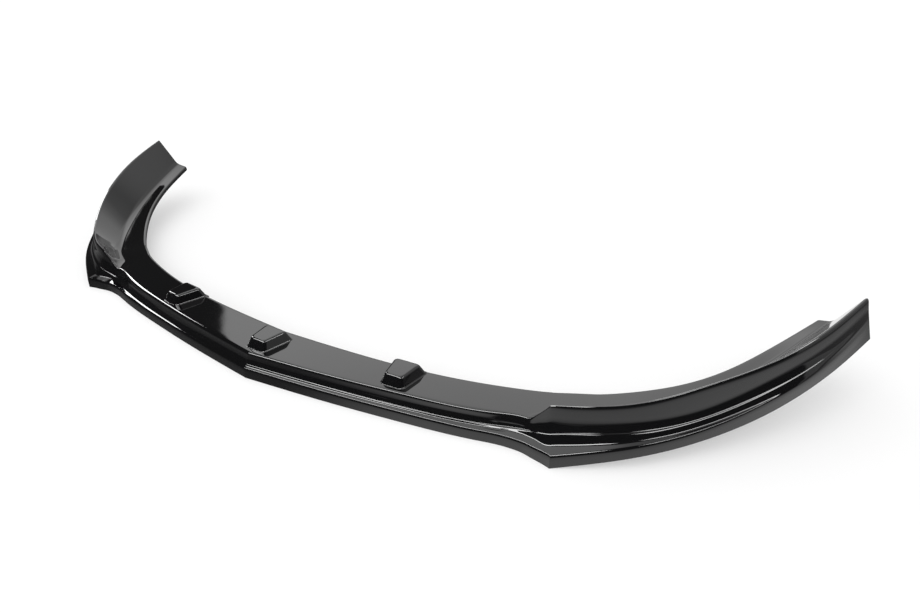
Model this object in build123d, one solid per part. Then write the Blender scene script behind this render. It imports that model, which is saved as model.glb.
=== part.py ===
"""Front splitter lip for a car: one thermoformed sheet, open underneath.

A flat deck runs behind a stepped front blade, and its back edge is rolled down.  At each
front corner the blade comes to a point and the deck's front edge climbs to a wing wall,
which sweeps up and back to a trimmed end.  Three hollow blocks stand on the deck.
"""
import os
from math import hypot

from build123d import *

# Main sizes in millimetres: across the wing ends, nose to rear, floor to wing tip,
# and the depth of the steps at the pointed corner
WIDTH = 1740.0
DEPTH = 545.0
HEIGHT = 157.0
STEP = 36.0

# Sheet, the deck's level above the floor, the blade's height and the rolled back edge
SHEET = 4.0
DECK_LEVEL = 41.0
BLADE_HEIGHT = 18.0
ROLL = 9.0

# Setback of each rounding, and of each bevel, from the corner of its section; the fold and
# the crest turn in three flats
ROUND_ROLL = 6.0
ROUND_COVE = 13.0
ROUND_FOLD = 6.0
ROUND_CREST = 7.0
BEVEL_SHELF = 2.0
BEVEL_BLADE = 2.5

# Width of deck beside the fold, which turns up into the wing wall at the corner
FOLD_RUN = 22.0

# Locating blocks on the deck, narrower in front
BLOCK_HEIGHT = 17.0
BLOCK_BASE_FRONT = 40.0
BLOCK_BASE_BACK = 64.0
BLOCK_BASE_LENGTH = 60.0
BLOCK_TOP_FRONT = 31.0
BLOCK_TOP_BACK = 46.0
BLOCK_TOP_LENGTH = 47.0
BLOCK_CORNER = 8.0
BLOCK_ROUND = 4.0
SIDE_BLOCK_TURN = 5.0

# The part's origin is on the deck's top face, behind the middle block
DATUM = 0.1688


def plan(x, y):
    """A plan point from shares of the half width and of the depth behind the nose."""
    return (x * WIDTH / 2, y * DEPTH)


def offset_corner(before, corner, after, distance):
    """Move a corner of an open outline to the right of its direction of travel."""
    d1 = (corner[0] - before[0], corner[1] - before[1])
    d2 = (after[0] - corner[0], after[1] - corner[1])
    l1 = hypot(*d1)
    l2 = hypot(*d2)
    n1 = (d1[1] / l1, -d1[0] / l1)
    n2 = (d2[1] / l2, -d2[0] / l2)
    reach = distance / (1.0 + n1[0] * n2[0] + n1[1] * n2[1])
    return (corner[0] + reach * (n1[0] + n2[0]), corner[1] + reach * (n1[1] + n2[1]))


def toward(start, end, distance):
    """The point a given distance from start on the way to end."""
    length = hypot(end[0] - start[0], end[1] - start[1])
    share = min(distance, 0.45 * length) / length
    return (start[0] + share * (end[0] - start[0]), start[1] + share * (end[1] - start[1]))


def bend(enter, corner, leave, share):
    """A point on the rounding of a corner, at a share of the way round."""
    near = (1.0 - share) ** 2
    far = share**2
    pull = 1.0 - near - far
    return tuple(near * e + pull * c + far * l for e, c, l in zip(enter, corner, leave))


def section(back, edge, deck, flat, steps, lift, rise=0.0, fold=ROUND_CREST):
    """Closed outline of the sheet in the upright plane through back and edge.

    back and edge are plan points of the deck's back edge and the blade's bottom edge,
    and lift is the bottom edge's height.  flat is the width of the deck's straight part,
    and rise is how far it climbs from its back edge.
    steps are the crest, the wall's foot, the shelf, the ledge and the blade's top, each
    a setback from the bottom edge and a height.
    """
    width = hypot(edge[0] - back[0], edge[1] - back[1])
    along = ((edge[0] - back[0]) / width, (edge[1] - back[1]) / width)
    outer = [(0.0, deck - ROLL), (0.0, deck), (flat, deck + rise)]
    outer += [(width - setback, height) for setback, height in steps]
    outer.append((width, lift))
    rounds = {1: ROUND_ROLL, 2: ROUND_COVE}
    bevels = {3: fold, 5: BEVEL_SHELF, 7: BEVEL_BLADE}

    inner = [(SHEET, deck - ROLL)]
    for i in range(1, len(outer) - 1):
        inner.append(offset_corner(outer[i - 1], outer[i], outer[i + 1], SHEET))
    inner.append((width - SHEET, lift))

    def place(point):
        return (back[0] + along[0] * point[0], back[1] + along[1] * point[0], point[1])

    edges = []
    here = outer[0]
    for i in range(1, len(outer) - 1):
        size = rounds.get(i, bevels.get(i, 0.0))
        enter = toward(outer[i], outer[i - 1], size)
        leave = toward(outer[i], outer[i + 1], size)
        edges.append(Line(place(here), place(enter)))
        turned = enter
        if i in rounds:
            edges.append(Bezier(place(enter), place(outer[i]), place(leave)))
        if i == 3:
            for share in (1 / 3, 2 / 3):
                onward = bend(enter, outer[i], leave, share)
                edges.append(Line(place(turned), place(onward)))
                turned = onward
        if i in bevels:
            edges.append(Line(place(turned), place(leave)))
        here = leave
    edges.append(Line(place(here), place(outer[-1])))
    edges.append(Line(place(outer[-1]), place(inner[-1])))
    for i in range(len(inner) - 1, 0, -1):
        edges.append(Line(place(inner[i]), place(inner[i - 1])))
    edges.append(Line(place(inner[0]), place(outer[0])))
    return Wire(edges)


def front_section(edge, back, fold, shelf):
    """A section of the front, where the level deck folds down to the blade."""
    back = plan(*back)
    edge = plan(*edge)
    width = hypot(edge[0] - back[0], edge[1] - back[1])
    fold = fold * STEP
    shelf = (shelf[0] * STEP, shelf[1] * HEIGHT)
    steps = [
        (fold, DECK_LEVEL),
        (fold - 0.04 * STEP, shelf[1] + 0.003 * HEIGHT),
        shelf,
        (shelf[0] - 0.03 * STEP, 1.055 * BLADE_HEIGHT),
        (0.0, BLADE_HEIGHT),
    ]
    flat = width - fold - FOLD_RUN
    return section(back, edge, DECK_LEVEL, flat, steps, 0.0, fold=ROUND_FOLD)


def wing_section(back, edge, deck, flat, setbacks, heights, lift, rise=0.0):
    """A section of the corner or the wing, with its heights as shares of the full height."""
    steps = [(s * STEP, h * HEIGHT) for s, h in zip(setbacks, heights)]
    level = deck * DECK_LEVEL
    return section(
        plan(*back), plan(*edge), level, flat * STEP, steps, lift * HEIGHT, rise * HEIGHT
    )


# From the middle of the front to where the fold starts to climb
front = [
    front_section((0.0, 0.0), (0.0, 0.1881), 0.39, (0.235, 0.137)),
    front_section((0.1724, 0.0339), (0.1724, 0.2064), 0.415, (0.25, 0.137)),
    front_section((0.3448, 0.0771), (0.3448, 0.2422), 0.47, (0.28, 0.137)),
    front_section((0.4828, 0.1229), (0.4782, 0.2972), 0.58, (0.36, 0.14)),
    front_section((0.5494, 0.1394), (0.5356, 0.3303), 0.805, (0.555, 0.159)),
]

# The short ramp up to the wing wall, and the pointed corner of the blade
corner = [
    front[-1],
    wing_section((0.546, 0.3376), (0.5747, 0.133), 1.0, 1.665,
                 (0.89, 0.775, 0.61, 0.595, 0.0), (0.382, 0.205, 0.197, 0.166, 0.12), 0.0),
    wing_section((0.5552, 0.344), (0.6, 0.1257), 1.0, 1.61,
                 (0.945, 0.835, 0.665, 0.64, 0.0), (0.497, 0.245, 0.236, 0.178, 0.124), 0.0),
    wing_section((0.5667, 0.3541), (0.6103, 0.1211), 1.0, 1.72,
                 (1.0, 0.89, 0.72, 0.695, 0.0), (0.51, 0.258, 0.248, 0.191, 0.127), 0.0),
]

# Along the wing to its trimmed rear end, where the steps fade into one plain wall
wing = [
    corner[-1],
    wing_section((0.6253, 0.4092), (0.7074, 0.2206), 0.976, 1.39,
                 (0.765, 0.653, 0.458, 0.403, 0.0), (0.567, 0.3025, 0.293, 0.2355, 0.1975), 0.0765),
    wing_section((0.7172, 0.5284), (0.8143, 0.3903), 1.073, 1.167,
                 (0.625, 0.486, 0.32, 0.278, 0.0), (0.688, 0.4075, 0.395, 0.366, 0.331), 0.1975),
    wing_section((0.7851, 0.6459), (0.8876, 0.542), 1.341, 0.945,
                 (0.555, 0.361, 0.208, 0.18, 0.0), (0.7835, 0.548, 0.532, 0.497, 0.452), 0.3185),
    wing_section((0.8391, 0.7817), (0.9471, 0.7108), 1.707, 0.806,
                 (0.555, 0.292, 0.208, 0.186, 0.055), (0.898, 0.675, 0.659, 0.631, 0.567), 0.446,
                 0.015),
    wing_section((0.9057, 1.0), (1.0, 0.9406), 2.146, 0.695,
                 (0.57, 0.361, 0.311, 0.28, 0.172), (1.017, 0.85, 0.815, 0.793, 0.713), 0.592,
                 0.05),
]

skins = []
for sections, straight in ((front, False), (corner, True), (wing, False)):
    stretch = Solid.make_loft(sections, ruled=straight)
    skins += [face for face in stretch.faces() if len(face.edges()) <= 4]
skins.append(Face(wing[-1]))
skins += [face.mirror(Plane.YZ) for face in skins]
shell = Solid(Shell(skins))


def trapezoid(front_width, back_width, length, inset):
    """A rounded outline, narrower in front, moved inwards by an inset all round."""
    half = length / 2 - inset
    near = front_width / 2 - inset
    far = back_width / 2 - inset
    outline = Polygon((-near, -half), (near, -half), (far, half), (-far, half), align=None)
    return fillet(outline.vertices(), BLOCK_CORNER - inset / 2)


def block(at, turn, inset, bottom, top, rounding):
    """A drafted block standing on the deck at a plan point, its top edge rounded if asked."""
    low = trapezoid(BLOCK_BASE_FRONT, BLOCK_BASE_BACK, BLOCK_BASE_LENGTH, inset)
    high = trapezoid(BLOCK_TOP_FRONT, BLOCK_TOP_BACK, BLOCK_TOP_LENGTH, inset)
    body = loft([Pos(0, 0, bottom) * low, Pos(0, 0, top) * high])
    if rounding > 0:
        body = fillet(body.edges().group_by(Axis.Z)[-1], rounding)
    return Pos(at[0], at[1], DECK_LEVEL) * Rot(0, 0, turn) * body


blocks = []
hollows = []
for at, turn in (
    (plan(0.0, 0.1065), 0.0),
    (plan(0.295, 0.1705), SIDE_BLOCK_TURN),
    (plan(-0.295, 0.1705), -SIDE_BLOCK_TURN),
):
    blocks.append(block(at, turn, 0.0, -SHEET / 2, BLOCK_HEIGHT, BLOCK_ROUND))
    hollows.append(block(at, turn, SHEET, -1.5 * SHEET, BLOCK_HEIGHT - SHEET, 0.0))
lip = shell + blocks
lip = lip - hollows

lip = Pos(0, -DATUM * DEPTH, -DECK_LEVEL) * lip
lip.label = "splitter_lip"
os.makedirs("parts", exist_ok=True)
export_step(lip, "parts/splitter_lip.step")
print("volume, litres:", round(lip.volume / 1e6, 3))
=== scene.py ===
# %% [markdown]
# # A front splitter lip in gloss black ABS
#
# The lip is one plastic sheet, formed hot over a mould and trimmed round its edge.  A level deck
# lies behind a low stepped blade, and the deck's back edge is rolled down.  At each front corner
# the blade comes to a point, the deck's front fold climbs a short ramp, and a wing wall sweeps up
# and back.  Three hollow blocks stand on the deck.
#
# The imported part is loaded first.  It stays where it is.  It could be shaded as it is, but its
# small corners are cut as flats, and on black gloss each flat would show.  So the sheet is drawn
# again with true roundings.

# %% Load the imported part
from math import cos, hypot, pi, radians, sin

import bmesh
import bpy
import numpy as np
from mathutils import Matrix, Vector


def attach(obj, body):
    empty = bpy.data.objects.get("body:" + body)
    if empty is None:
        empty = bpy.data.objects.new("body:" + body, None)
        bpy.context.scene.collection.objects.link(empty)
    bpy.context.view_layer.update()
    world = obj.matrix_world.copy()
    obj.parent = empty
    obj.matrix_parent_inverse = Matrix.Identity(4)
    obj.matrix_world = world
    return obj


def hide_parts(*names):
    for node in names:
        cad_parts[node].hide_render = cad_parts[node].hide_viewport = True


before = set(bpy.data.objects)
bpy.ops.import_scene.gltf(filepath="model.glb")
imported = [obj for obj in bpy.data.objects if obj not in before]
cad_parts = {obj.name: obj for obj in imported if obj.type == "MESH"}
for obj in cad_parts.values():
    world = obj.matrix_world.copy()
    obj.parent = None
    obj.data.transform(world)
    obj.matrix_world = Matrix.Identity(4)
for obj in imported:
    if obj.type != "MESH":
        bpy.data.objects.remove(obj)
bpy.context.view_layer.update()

MM = 0.001

# %% [markdown]
# ## The sheet's sections
#
# A sheet like this is drawn as a row of cross-sections.  Each section is a short chain of corners
# from the deck's back edge, over the crest and down the steps to the blade's bottom edge.  The
# corners could be bevelled later by a modifier, but a bevel's width changes along the wing and
# its ends pinch where the steps fade out.  Rounding the corners inside each section keeps the
# same number of points in all of them, so a grid of faces joins them cleanly.
#
# Lengths are in millimetres.  Heights are above the floor, and the origin of the part is on the
# deck's top face, behind the middle block.

# %% Sizes of the sheet
SHEET = 4.0
BLADE = 18.0
DECK = 41.0
ROLL = 9.0
DATUM = (0.0, 26.0, DECK)
print("sheet", SHEET, "mm, blade", BLADE, "mm high, deck", DECK, "mm above the floor")

# %% Round the corners of a chain
# a rounding takes no more than this share of a side, so two roundings never meet on it
SIDE_SHARE = 0.47


def toward(start, end, distance):
    """The point a given distance from start on the way to end, short of the middle."""
    length = hypot(end[0] - start[0], end[1] - start[1])
    share = min(distance, SIDE_SHARE * length) / length
    return (start[0] + share * (end[0] - start[0]), start[1] + share * (end[1] - start[1]))


def rounded(corners, sizes, parts):
    """A chain of corners with every inner one rounded by a small parabola of so many parts.

    A size is one setback, or a pair of setbacks before and after the corner.
    """
    points = [corners[0]]
    for before, corner, after, size in zip(corners, corners[1:], corners[2:], sizes):
        pair = size if isinstance(size, tuple) else (size, size)
        enter = toward(corner, before, pair[0])
        leave = toward(corner, after, pair[1])
        for i in range(parts + 1):
            t = i / parts
            a, b, c = (1 - t) ** 2, 2 * t * (1 - t), t * t
            points.append(tuple(a * e + b * m + c * l for e, m, l in zip(enter, corner, leave)))
    points.append(corners[-1])
    return points


# %% The underside's corners
def offset_corner(before, corner, after, distance):
    """A corner moved to the right of the chain's direction by the sheet's thickness."""
    l1 = hypot(corner[0] - before[0], corner[1] - before[1])
    l2 = hypot(after[0] - corner[0], after[1] - corner[1])
    n1 = ((corner[1] - before[1]) / l1, (before[0] - corner[0]) / l1)
    n2 = ((after[1] - corner[1]) / l2, (corner[0] - after[0]) / l2)
    reach = distance / (1.0 + n1[0] * n2[0] + n1[1] * n2[1])
    return (corner[0] + reach * (n1[0] + n2[0]), corner[1] + reach * (n1[1] + n2[1]))


# %% One section of the sheet as a closed ring of points
ROUND_ROLL = 6.0
ROUND_COVE = 10.0
ROUND_FOLD = 6.0
ROUND_CREST = (11.0, 16.0)
ROUND_WAIST = 5.0
ROUND_FOOT = (5.0, 2.0)
ROUND_STEP = 2.5
ROUND_BLADE = (4.0, 8.5)
ROUND_TRIM = 0.5
# inside the bend of the sheet these corners are tighter
UNDER_ROLL = 2.0
UNDER_CREST = 3.0
UNDER_BLADE = 1.0
ROUND_PARTS = 7
# the ring starts and ends on the deck, at this share of its depth
SEAM = 0.4


def section(back, edge, deck, flat, crest, waist, foot, shelf, ledge, blade, lift,
            rise=0.0, cove=ROUND_COVE, fold=ROUND_CREST):
    """The ring in the upright plane from the deck's back edge to the blade's bottom edge.

    back and edge are places in plan.  deck is the height of the back edge, flat the deck's depth
    up to the cove, rise what the deck gains on the way, and lift the height of the bottom edge.
    crest, waist, foot, shelf, ledge and blade are pairs of setback from the bottom edge and height.
    cove and fold are sizes of roundings.
    """
    width = hypot(edge[0] - back[0], edge[1] - back[1])
    along = ((edge[0] - back[0]) / width, (edge[1] - back[1]) / width)
    wall = (crest, waist, foot, shelf, ledge, blade)
    outer = [(0.0, deck - ROLL), (0.0, deck), (flat, deck + rise)]
    outer += [(width - setback, height) for setback, height in wall]
    outer.append((width, lift))
    inner = [(SHEET, deck - ROLL)]
    for before, corner, after in zip(outer, outer[1:], outer[2:]):
        inner.append(offset_corner(before, corner, after, SHEET))
    inner.append((width - SHEET, lift))
    top = [cove, fold, ROUND_WAIST, ROUND_FOOT, ROUND_STEP, ROUND_STEP, ROUND_BLADE]
    trim = [ROUND_TRIM, ROUND_TRIM]
    under = [UNDER_BLADE, ROUND_STEP, ROUND_STEP, ROUND_STEP, ROUND_WAIST, UNDER_CREST,
             cove, UNDER_ROLL]
    start = toward(outer[1], outer[2], SEAM * flat)
    ring = [start] + outer[2:] + inner[::-1] + [outer[0], outer[1], start]
    ring = rounded(ring, top + trim + under + trim + [ROUND_ROLL], ROUND_PARTS)[:-1]
    return np.array([(back[0] + along[0] * u, back[1] + along[1] * u, z) for u, z in ring])


# %% [markdown]
# ## The stations along one half
#
# The sections stand at stations.  The front has five, from the middle to where the fold starts to
# climb.  Three more make the ramp and the pointed corner.  Five carry the wing up and back, and
# there the steps of the blade come together until the wall is nearly plain at the rear end.

# %% Front stations
# on the front the cove's corner lies in the level deck, this far behind the fold
FOLD_RUN = 22.0
# the lower half of the wall and the face under the step lean back by these slopes
WALL_LEAN = 0.45
STEP_LEAN = 1.0
# the wall's foot stands at this share of the way from the shelf to the fold, just above the shelf
FOOT_SHARE = 0.3
FOOT_RISE = 0.8
# the step takes this share of the drop from the shelf to the blade
STEP_SHARE = 0.6


def front_section(edge, back, fold, shelf, run=FOLD_RUN):
    """A section of the front, where the level deck folds down to the blade."""
    width = hypot(edge[0] - back[0], edge[1] - back[1])
    foot = (shelf[0] + FOOT_SHARE * (fold - shelf[0]), shelf[1] + FOOT_RISE)
    middle = (DECK + shelf[1]) / 2
    waist = (foot[0] + WALL_LEAN * (middle - foot[1]), middle)
    drop = STEP_SHARE * (shelf[1] - BLADE)
    ledge = (shelf[0] - STEP_LEAN * drop, shelf[1] - drop)
    return section(back, edge, DECK, width - fold - run, (fold, DECK),
                   waist, foot, shelf, ledge, (0.0, BLADE), 0.0, fold=ROUND_FOLD)


front = [
    front_section((0.0, -66.0), (0.0, 36.5), 14.0, (8.5, 21.5)),
    front_section((150.0, -47.5), (150.0, 46.5), 15.0, (9.0, 21.5)),
    front_section((300.0, -24.0), (300.0, 66.0), 17.0, (10.0, 21.5)),
    front_section((420.0, 1.0), (416.0, 96.0), 21.0, (13.0, 22.0)),
    front_section((478.0, 10.0), (466.0, 114.0), 29.0, (18.5, 25.2), run=6.0),
]
print("front sections:", len(front), "of", len(front[0]), "points")

# %% Corner and wing stations
RAMP_COVE = 20.0
corner = [
    section((475.0, 118.0), (500.0, 6.5), DECK, 73.0, (32.0, 60.0), (30.0, 44.0), (23.5, 31.2),
            (21.0, 30.3), (15.5, 23.2), (0.0, 18.8), 0.0, cove=RAMP_COVE),
    section((483.0, 121.5), (522.0, 2.5), DECK, 66.0, (35.0, 83.0), (34.3, 55.0), (27.0, 36.6),
            (24.5, 35.5), (15.0, 24.8), (0.0, 19.8), 0.0, cove=RAMP_COVE),
    section((493.0, 127.0), (531.0, 0.0), DECK, 65.5, (38.5, 85.5), (37.5, 57.0), (31.0, 39.2),
            (28.5, 38.2), (19.0, 26.2), (0.0, 20.5), 0.0, cove=RAMP_COVE),
]
wing = [
    section((544.0, 157.0), (615.4, 54.2), 40.0, 55.0, (27.5, 91.5), (25.7, 59.0), (20.0, 47.5),
            (16.5, 46.0), (10.0, 36.2), (0.0, 33.0), 14.3),
    section((624.0, 222.0), (708.4, 146.7), 44.0, 45.0, (22.5, 109.0), (19.5, 67.0), (14.5, 58.0),
            (11.5, 56.5), (6.9, 48.9), (0.0, 48.6), 28.3),
    section((683.0, 286.0), (772.2, 229.4), 55.0, 36.0, (20.0, 124.0), (16.5, 91.0), (11.0, 82.0),
            (7.5, 80.0), (4.0, 73.0), (0.0, 71.0), 47.7),
    section((730.0, 360.0), (824.0, 321.4), 70.0, 29.0, (20.0, 141.0), (14.0, 113.0), (9.5, 103.0),
            (7.5, 102.0), (5.0, 97.0), (2.0, 88.5), 71.0, rise=2.0),
    section((788.0, 479.0), (870.0, 446.6), 88.0, 25.0, (20.5, 161.5), (15.0, 140.0), (13.0, 133.5),
            (11.2, 128.0), (10.1, 124.5), (6.2, 112.0), 93.0, rise=8.0),
]
print("corner and wing sections:", len(corner) + len(wing))


# %% [markdown]
# ## From sections to a skin
#
# Between its sections the real sheet runs in fair curves.  A subdivision surface would round the
# run, but it also pulls away from the sections.  A cubic curve through the sections keeps them, so
# each point of the ring gets its own curve along the part, read every few millimetres.  Each curve
# starts as a natural spline.  Where that would swing past a station, as beside the short ramp, its
# slope is held back.  Two lines turn sharply at the corner: the crest at the top of its ramp, and
# the blade with its step at the point.  Their curves stop there and start again.

# %% Slopes of a fair curve
def fair_slopes(spans, rises):
    """Slopes of the natural cubic spline, held back where it would swing past a station."""
    count = len(spans) + 1
    system = np.zeros((count, count))
    right = np.zeros((count, rises.shape[1]))
    system[0, :2] = 2.0, 1.0
    system[-1, -2:] = 1.0, 2.0
    right[0] = 3.0 * rises[0]
    right[-1] = 3.0 * rises[-1]
    for i in range(1, count - 1):
        system[i, i - 1:i + 2] = spans[i], 2.0 * (spans[i - 1] + spans[i]), spans[i - 1]
        right[i] = 3.0 * (spans[i] * rises[i - 1] + spans[i - 1] * rises[i])
    slopes = np.linalg.solve(system, right)
    before = np.vstack([rises[:1], rises])
    after = np.vstack([rises, rises[-1:]])
    limit = 3.0 * np.minimum(abs(before), abs(after)) * (before * after > 0)
    return np.clip(slopes, -limit, limit)


def broken_slopes(spans, rises, station):
    """Slopes on leaving and on reaching each station, for curves that break at one of them."""
    before = fair_slopes(spans[:station], rises[:station])
    after = fair_slopes(spans[station:], rises[station:])
    return np.vstack([before[:-1], after]), np.vstack([before, after[1:]])


# %% Curves along the half
stations = front + corner + wing
values = np.array([ring.ravel() for ring in stations])
spans = np.array([np.linalg.norm(b - a, axis=1).mean() for a, b in zip(stations, stations[1:])])
rises = np.diff(values, axis=0) / spans[:, None]
leave = fair_slopes(spans, rises)
reach = leave.copy()
# corners are counted along the ring from the cove, down the outside and back along the underside
CREST, LEDGE, UNDERSIDE_LEDGE, UNDERSIDE_CREST = 1, 5, 10, 14
RAMP_TOP = len(front) + 1
POINT = len(front) + 2
breaks = ((CREST, CREST, RAMP_TOP), (UNDERSIDE_CREST, UNDERSIDE_CREST, RAMP_TOP),
          (LEDGE, UNDERSIDE_LEDGE, POINT))
corner_values = 3 * (ROUND_PARTS + 1)
for first, last, station in breaks:
    columns = slice(3 + corner_values * first, 3 + corner_values * (last + 1))
    leave[:, columns], reach[:, columns] = broken_slopes(spans, rises[:, columns], station)
print("stations:", len(stations), "with", len(breaks), "breaks at the corner")

# %% Rows of points along the half
ROW_STEP = 6.0
RAMP_ROW_STEP = 2.5
ramp_spans = range(len(front) - 1, POINT)
rows = []
for i, span in enumerate(spans):
    parts = max(1, round(span / (RAMP_ROW_STEP if i in ramp_spans else ROW_STEP)))
    for t in np.arange(parts) / parts:
        rows.append(values[i] * (1 + 2 * t) * (1 - t) ** 2 + values[i + 1] * t * t * (3 - 2 * t)
                    + span * (leave[i] * t * (1 - t) ** 2 - reach[i + 1] * t * t * (1 - t)))
rows.append(values[-1])
rows = [row.reshape(-1, 3) for row in rows]
print("rows along one half:", len(rows))


# %% Faces between rings of points
def bridge(bm, rings):
    """Joins each ring of points to the next with a band of faces."""
    for here, there in zip(rings, rings[1:]):
        for i in range(len(here)):
            j = (i + 1) % len(here)
            bm.faces.new((here[i], there[i], there[j], here[j]))


def put(name, data):
    """A new object in the scene for a mesh, a lamp or a camera."""
    made = bpy.data.objects.new(name, data)
    bpy.context.scene.collection.objects.link(made)
    return made


# %% The skin of one half, then the other
MERGE = 0.01
lip_mesh = bpy.data.meshes.new("splitter_lip_sheet")
bm = bmesh.new()
rings = []
for row in rows:
    rings.append([bm.verts.new([(c - d) * MM for c, d in zip(point, DATUM)]) for point in row])
bridge(bm, rings)
bm.faces.new(rings[-1])
half = bm.verts[:] + bm.edges[:] + bm.faces[:]
bmesh.ops.mirror(bm, geom=half, axis="X", merge_dist=MERGE * MM)
bmesh.ops.recalc_face_normals(bm, faces=bm.faces[:])
bm.to_mesh(lip_mesh)
open_edges = sum(1 for e in bm.edges if not e.is_manifold)
volume = bm.calc_volume()
bm.free()
lip = put("lip_sheet", lip_mesh)
print("faces:", len(lip_mesh.polygons), "open edges:", open_edges, "litres:", round(volume * 1000, 3))

# %% [markdown]
# ## The blocks on the deck
#
# Three drafted blocks locate the bumper.  On the real part they are pushed up in the same sheet,
# so they are hollow from below and meet the deck in a small fillet.  In plan they are narrower in
# front.  Each is made as a stack of rounded outlines, which follow one profile: out along the
# fillet, up the drafted side and over the rounded top edge.  A boolean joins the block to the
# sheet, and another cuts its hollow, so the skin stays one closed mesh.

# %% Sizes and places of the blocks
BLOCK_HEIGHT = 17.0
BLOCK_BASE = (40.0, 64.0, 60.0)
BLOCK_TOP = (31.0, 46.0, 47.0)
BLOCK_CORNER = 8.0
LEAST_CORNER = 1.0
BLOCK_ROUND = 4.0
BLOCK_FOOT = 3.0
block_places = [((0.0, -8.0), 0.0), ((256.5, 27.0), 5.0), ((-256.5, 27.0), -5.0)]
print("blocks:", len(block_places), "each", BLOCK_BASE, "mm at the foot: front, back and length")


# %% One outline of a block
def outline(share, shrink):
    """A rounded outline of the block; share is 0 at the foot and 1 at the top."""
    near, far, length = (b + share * (t - b) - 2 * shrink for b, t in zip(BLOCK_BASE, BLOCK_TOP))
    front_left, front_right = (-near / 2, -length / 2), (near / 2, -length / 2)
    back_left, back_right = (-far / 2, length / 2), (far / 2, length / 2)
    start = (0.0, length / 2)
    chain = [start, back_left, front_left, front_right, back_right, start]
    return rounded(chain, [max(LEAST_CORNER, BLOCK_CORNER - shrink)] * 4, parts=8)[:-1]


# %% One block as a stack of outlines
def block(name, place, turn, shrink, profile):
    """A closed drafted solid; profile pairs are a share of the draft and a height."""
    bm = bmesh.new()
    c, s = cos(radians(turn)), sin(radians(turn))
    stack = []
    for share, height in profile:
        ring = [(place[0] + c * x - s * y, place[1] - DATUM[1] + s * x + c * y)
                for x, y in outline(share, shrink)]
        stack.append([bm.verts.new((x * MM, y * MM, height * MM)) for x, y in ring])
    bridge(bm, stack)
    bm.faces.new(stack[-1])
    bm.faces.new(stack[0][::-1])
    bmesh.ops.recalc_face_normals(bm, faces=bm.faces[:])
    mesh = bpy.data.meshes.new(name)
    bm.to_mesh(mesh)
    bm.free()
    return put(name, mesh)


# %% Profiles of the blocks
# the top of a profile runs inwards this far, which its rounded edge needs
TOP_RUN = 12.0
# the fillet stops just short of the foot, starts this much wider inside the sheet and stands a
# hair above the deck, so that the two skins cross cleanly
FILLET = 0.98 * BLOCK_FOOT
SKIRT = 0.2
PROUD = 0.02
# the hollow is cut from this far below the deck's top
HOLLOW_START = 6.0
draft = (BLOCK_BASE[2] - BLOCK_TOP[2]) / 2
ceiling = BLOCK_HEIGHT - SHEET
outside = [(-BLOCK_FOOT, 0.0), (0.0, 0.0), (draft, BLOCK_HEIGHT), (draft + TOP_RUN, BLOCK_HEIGHT)]
outside = rounded(outside, [FILLET, BLOCK_ROUND], parts=6)
outside = [(-BLOCK_FOOT - SKIRT, -SHEET / 2)] + [(u, z + PROUD) for u, z in outside[1:-1]]
inside = [(-HOLLOW_START * draft / BLOCK_HEIGHT, -HOLLOW_START),
          (draft, ceiling), (draft + TOP_RUN, ceiling)]
inside = rounded(inside, [BLOCK_ROUND], parts=4)[:-1]
print("profile points:", len(outside), "outside and", len(inside), "inside")

# %% Join the blocks and cut their hollows
cutters = []
for name, shrink, profile, operation in (("deck_block", 0.0, outside, "UNION"),
                                         ("block_hollow", SHEET, inside, "DIFFERENCE")):
    for place, turn in block_places:
        made = block(name, place, turn, shrink, [(u / draft, z) for u, z in profile])
        cutters.append((made, operation))
for cutter, operation in cutters:
    joint = lip.modifiers.new("block", "BOOLEAN")
    joint.object = cutter
    joint.operation = operation
    joint.solver = "EXACT"
bpy.context.view_layer.update()
shaped = bpy.data.meshes.new_from_object(lip.evaluated_get(bpy.context.evaluated_depsgraph_get()))
lip.modifiers.clear()
lip.data = shaped
for cutter, operation in cutters:
    bpy.data.objects.remove(cutter)
print("faces with blocks:", len(shaped.polygons))

# %% [markdown]
# ## Shading that follows the form
#
# On a mirror-like face the eye reads every normal.  Plain smooth shading would bend the flat deck
# near its rounded edges, and flat shading would show the grid.  Weighted normals let the large
# faces keep their own direction and put all of the turn into the roundings.

# %% Even out the shading
SHARP_ANGLE = 32
shaped.shade_smooth()
shaped.set_sharp_from_angle(angle=radians(SHARP_ANGLE))
weighted = lip.modifiers.new("flat faces lead", "WEIGHTED_NORMAL")
weighted.keep_sharp = True
weighted.weight = 80
print("sharp edges kept from", SHARP_ANGLE, "degrees up")


# %% [markdown]
# ## Gloss black ABS, formed over a polished mould
#
# ABS sheet for body parts has a thin gloss cap.  Formed hot, it copies a polished mould nearly
# like a mirror.  Close up it keeps a faint orange peel, and over a hand's width the sheet is a
# little wavy where it cooled unevenly.  So the eye gets almost no colour, only the room: grey
# where a face mirrors the white studio, black where it mirrors the dark side or the lip itself.
#
# The waves could be pushed into the mesh, but they are under a fifth of a millimetre deep and would
# need far more faces.  Bump nodes tilt the mirror by the same slope and cost nothing.

# %% Colours and nodes
def srgb(code):
    """Linear RGBA from an sRGB hex colour."""
    values = [int(code[i:i + 2], 16) / 255 for i in (1, 3, 5)]
    return [v / 12.92 if v <= 0.04045 else ((v + 0.055) / 1.055) ** 2.4 for v in values] + [1.0]


def add(tree, kind, links=(), **settings):
    """Adds a node, sets its properties or sockets, and links (from node, output, input) to it."""
    node = tree.nodes.new(kind)
    for name, value in settings.items():
        if hasattr(node, name):
            setattr(node, name, value)
        else:
            node.inputs[name.replace("_", " ")].default_value = value
    for source, output, socket in links:
        tree.links.new(source.outputs[output], node.inputs[socket])
    return node


# %% Nodes that are used often
def bare_tree(owner):
    """The node tree of a material or a world, emptied."""
    owner.use_nodes = True
    owner.node_tree.nodes.clear()
    return owner.node_tree


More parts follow.
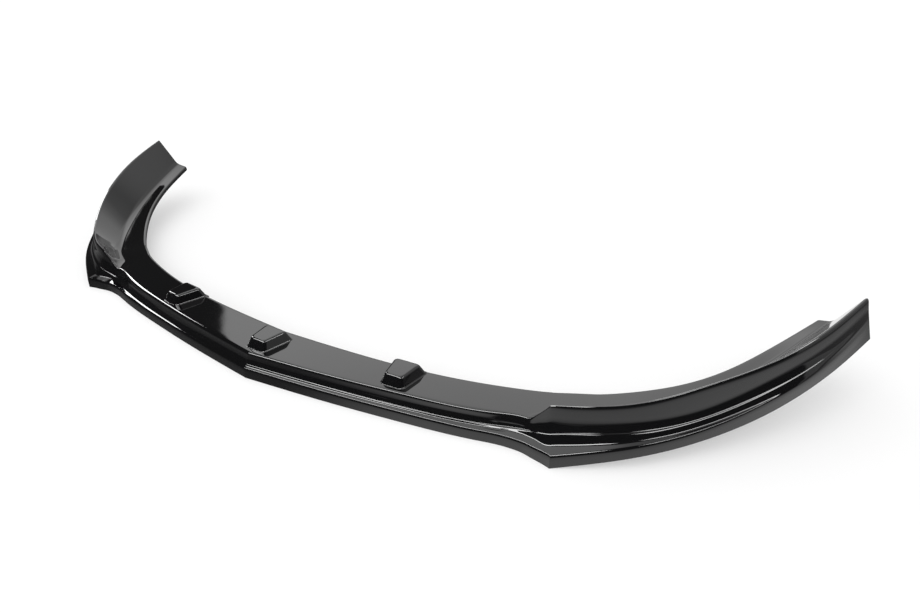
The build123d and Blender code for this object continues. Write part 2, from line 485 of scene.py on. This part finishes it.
def ramp(tree, source, output, begin, end, first=0.0, last=1.0, shape="LINEAR"):
    """A value that goes from first to last while a node's output goes from begin to end."""
    return add(tree, "ShaderNodeMapRange", [(source, output, "Value")], interpolation_type=shape,
               From_Min=begin, From_Max=end, To_Min=first, To_Max=last)


def combine(tree, operation, one, other):
    """The product or the maximum of the first outputs of two nodes."""
    return add(tree, "ShaderNodeMath", [(one, 0, 0), (other, 0, 1)], operation=operation)


# %% The sheet's finish
WAVE_LENGTH, WAVE_DEPTH = 0.06, 0.00015
PEEL_LENGTH, PEEL_DEPTH = 0.004, 0.000004
abs_gloss = bpy.data.materials.new("gloss_black_ABS_formed_sheet")
tree = bare_tree(abs_gloss)
spot = add(tree, "ShaderNodeTexCoord")
# waves 60 mm long: the mirrored edges of the room wander a little along the deck
waves = add(tree, "ShaderNodeTexNoise", [(spot, "Object", "Vector")],
            Scale=1 / WAVE_LENGTH, Detail=1.0, Roughness=0.4)
# orange peel of 2 mm cells, drawn at 4 mm so that it does not fall between the samples
peel = add(tree, "ShaderNodeTexNoise", [(spot, "Object", "Vector")], Scale=1 / PEEL_LENGTH, Detail=1.0)
sheet_waves = add(tree, "ShaderNodeBump", [(waves, "Fac", "Height")], Strength=1.0, Distance=WAVE_DEPTH)
orange_peel = add(tree, "ShaderNodeBump", [(peel, "Fac", "Height"), (sheet_waves, "Normal", "Normal")],
                  Strength=1.0, Distance=PEEL_DEPTH)
# the gloss is a little softer on the waves' backs, so edges in the mirror are never quite even
gloss = ramp(tree, waves, "Fac", 0.0, 1.0, first=0.03, last=0.06)
shader = add(tree, "ShaderNodeBsdfPrincipled",
             [(orange_peel, "Normal", "Normal"), (gloss, "Result", "Roughness")],
             Base_Color=srgb("#0a0a0b"), IOR=1.54)
add(tree, "ShaderNodeOutputMaterial", [(shader, "BSDF", "Surface")])
lip.data.materials.clear()
lip.data.materials.append(abs_gloss)
print("material:", abs_gloss.name, "with", len(tree.nodes), "nodes")

# %% [markdown]
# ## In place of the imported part
#
# Nothing moves on a lip, so the sheet rides on the root.  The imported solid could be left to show
# through, but two skins so close would flicker, so the sheet takes its place.

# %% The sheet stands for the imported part
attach(lip, "root")
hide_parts("splitter_lip")

# %% [markdown]
# ## A white studio
#
# Black gloss shows its surroundings, so these matter as much as the finish.  The part lies on a
# roll of white paper that runs up behind it.  The paper could be modelled as a curved sheet, but
# its bend and its own shadows would then show in the lip.  A flat floor and a painted world do
# the same, and each can be set to what the lip mirrors.

# %% Floor
FLOOR_REACH = 15
WHITE = srgb("#ffffff")
level = -DECK * MM
floor_mesh = bpy.data.meshes.new("studio_floor")
floor_corners = [(x * FLOOR_REACH, y * FLOOR_REACH, level)
                 for x, y in ((-1, -1), (1, -1), (1, 1), (-1, 1))]
floor_mesh.from_pydata(floor_corners, [], [(0, 1, 2, 3)])
floor = put("studio_floor", floor_mesh)
print("floor at", round(level / MM, 1), "mm")

# %% The floor's paper
paper = bpy.data.materials.new("matt_white_paper_roll")
tree = bare_tree(paper)
rays = add(tree, "ShaderNodeLightPath")
# two fifths of what the camera sees is plain white, which keeps the paper bright under a soft shadow
share = ramp(tree, rays, "Is Camera Ray", 0.0, 1.0, last=0.4)
seen = add(tree, "ShaderNodeMath", [(share, "Result", 0), (rays, "Is Glossy Ray", 1)],
           operation="MAXIMUM")
matt = add(tree, "ShaderNodeBsdfDiffuse", Color=srgb("#f4f4f4"))
# in the mirror the paper carries a painted pool of light, brightest round the lip and fading towards
# the camera: 1 on this ellipse is about the lip's own line
spot = add(tree, "ShaderNodeTexCoord")
ellipse = add(tree, "ShaderNodeMapping", [(spot, "Object", "Vector")], vector_type="TEXTURE",
              Location=(0.0, 0.43, level), Scale=(0.87, 0.53, 1.0))
far = add(tree, "ShaderNodeVectorMath", [(ellipse, "Vector", 0)], operation="LENGTH")
painted_light_fade = ramp(tree, far, "Value", 1.05, 1.9, first=1.1, last=0.2)
# left of the middle the mirrored paper is given painted shade, as if it lay on the dark side of the
# room
across = add(tree, "ShaderNodeSeparateXYZ", [(spot, "Object", "Vector")])
right = ramp(tree, across, "X", 0.05, 0.35, first=0.15, shape="SMOOTHSTEP")
painted_light_pool = combine(tree, "MULTIPLY", painted_light_fade, right)
# the paper glows by itself: plain white for the camera, and the painted pool of light and shade for
# mirrored rays
light = add(tree, "ShaderNodeMix", [(rays, "Is Glossy Ray", "Factor"), (painted_light_pool, "Value", "B")], A=1.0)
painted_paper_glow = add(tree, "ShaderNodeEmission", [(light, "Result", "Strength")], Color=WHITE)
both = add(tree, "ShaderNodeMixShader", [(seen, "Value", 0), (matt, "BSDF", 1), (painted_paper_glow, "Emission", 2)])
add(tree, "ShaderNodeOutputMaterial", [(both, "Shader", "Surface")])
floor_mesh.materials.append(paper)
print("material:", paper.name, "with", len(tree.nodes), "nodes")

# %% [markdown]
# ## The room in the mirror
#
# The photograph shows what the lip mirrors: white paper behind and to the right, brighter above
# about thirty degrees where it is lit from close by, and a dark room to the left and behind the
# camera.  The edge of the white paper is the line between grey and black on the left of the deck.
# High up the paper bends over, which puts grey on the left wing's inner face as well.  The world
# is painted that way for mirrored rays.  For the camera it is plain white.  The floor is lit by a
# soft room that is brighter in front, so the lip's faint shadow lies behind it.

# %% Directions in the world
world = bpy.data.worlds.new("white_studio")
bpy.context.scene.world = world
tree = bare_tree(world)
rays = add(tree, "ShaderNodeLightPath")
sky_point = add(tree, "ShaderNodeTexCoord")
height = add(tree, "ShaderNodeSeparateXYZ", [(sky_point, "Generated", "Vector")])
print("world:", world.name)


def along(direction):
    """How far a point of the world lies along a direction."""
    node = add(tree, "ShaderNodeVectorMath", [(sky_point, "Generated", 0)], operation="DOT_PRODUCT")
    node.inputs[1].default_value = direction
    return node


def side(azimuth, sign, begin, end, first=0.0, last=1.0, lean=0.0):
    """A ramp across the plane at an azimuth, in degrees from +Y towards +X.

    It rises to the plane's right if sign is 1 and to its left if it is -1.  The plane may lean.
    """
    a = radians(azimuth)
    return ramp(tree, along((sign * cos(a), -sign * sin(a), lean)), "Value", begin, end, first, last)


# %% The paper in the mirror
left_end = side(-47.0, 1, -0.004, 0.004, lean=0.19)
right_end = side(80.0, -1, -0.012, 0.012)
# high up the paper bends over and reaches further to the left
over_end = side(-92.0, 1, -0.012, 0.012)
overhead = ramp(tree, height, "Z", 0.74, 0.78)
bent = combine(tree, "MULTIPLY", over_end, overhead)
left_part = combine(tree, "MAXIMUM", left_end, bent)
paper_mask = combine(tree, "MULTIPLY", left_part, right_end)
# the lamps behind stand to the left, so the paper is half as bright to the right of straight behind
dimmer = side(-12.0, 1, -0.08, 0.06, first=1.0, last=0.5)
paper_light = ramp(tree, height, "Z", 0.31, 0.54, first=1.0, last=1.9, shape="SMOOTHSTEP")
paper_seen = combine(tree, "MULTIPLY", paper_light, dimmer)
print("paper in the mirror:", len(tree.nodes), "nodes so far")

# %% What each kind of ray sees
DARK_ROOM = 0.04
PLAIN_WHITE = 1.0
ROOM_FRONT = (-0.35, -0.94, 0.0)
mirrored = add(tree, "ShaderNodeMix", [(paper_mask, "Value", "Factor"), (paper_seen, "Value", "B")],
               A=DARK_ROOM)
room_light = ramp(tree, along(ROOM_FRONT), "Value", -1.0, 1.0, first=0.3, last=2.1)
for_gloss = add(tree, "ShaderNodeMix", [(rays, "Is Glossy Ray", "Factor"), (room_light, "Result", "A"),
                                        (mirrored, "Result", "B")])
for_all = add(tree, "ShaderNodeMix", [(rays, "Is Camera Ray", "Factor"), (for_gloss, "Result", "A")],
              B=PLAIN_WHITE)
sky = add(tree, "ShaderNodeBackground", [(for_all, "Result", "Strength")], Color=WHITE)
add(tree, "ShaderNodeOutputWorld", [(sky, "Background", "Surface")])
print("world nodes:", len(tree.nodes))


# %% [markdown]
# ## Lamps for the bright lines
#
# The fine bright lines along the fold, the steps and the crest are mirrored lamps: a rounding
# shows a whole lamp squeezed into a line.  A long softbox over the front gives the lines of the
# fold and the steps.  A smaller one on the right gives the crest's line, and a lower one on the
# left carries the fold's line round to the left corner.  One huge lamp would reach them all, but
# it would also fill the black bands.  The lamps are kept out of the floor's light, so that the
# shadow stays as faint as the paper's own light makes it.

# %% Softboxes
def lamp(name, at, aim, size, radiance):
    """A soft rectangular lamp at a point, turned to another, that lights mirrored rays alone."""
    light = bpy.data.lights.new(name, "AREA")
    light.shape = "RECTANGLE"
    light.size, light.size_y = size
    light.energy = radiance * pi * size[0] * size[1]
    made = put(name, light)
    made.location = at
    made.rotation_euler = (Vector(aim) - Vector(at)).to_track_quat("-Z", "Y").to_euler()
    made.visible_camera = False
    made.visible_diffuse = False
    print(name, "radiance", radiance)


lamp("long_softbox", at=(-0.2, -0.75, 1.9), aim=(0.0, 0.1, 0.0), size=(3.4, 0.5), radiance=16.0)
lamp("crest_softbox", at=(1.85, 0.25, 1.6), aim=(0.7, 0.25, 0.05), size=(1.6, 0.4), radiance=12.0)
lamp("left_softbox", at=(-2.2, 0.75, 1.15), aim=(-0.3, 0.03, 0.0), size=(0.45, 0.6), radiance=14.0)

# %% [markdown]
# ## Camera
#
# The lip is symmetric, so points that show on both sides of the photograph give the camera's
# place as two views would.  It stands to the right of the nose, looks about 28 degrees down, and
# its lens is a moderate wide angle of 28 mm on a 36 mm sensor.

# %% Camera
SENSOR = 36.0
PICTURE_WIDTH = 920.0
FOCAL_PIXELS = 720.0
LOOK_DOWN = 0.495765
TURN = 0.560600
camera_data = bpy.data.cameras.new("camera")
camera_data.sensor_fit = "HORIZONTAL"
camera_data.sensor_width = SENSOR
camera_data.lens = SENSOR * FOCAL_PIXELS / PICTURE_WIDTH
camera_data.clip_end = 100.0
camera = put("camera", camera_data)
camera.location = (0.84005, -0.75275, 0.63946)
camera.rotation_euler = (pi / 2 - LOOK_DOWN, 0.0, TURN)
bpy.context.scene.camera = camera
bpy.context.scene.view_settings.view_transform = "Standard"
print("lens", round(camera_data.lens, 1), "mm")
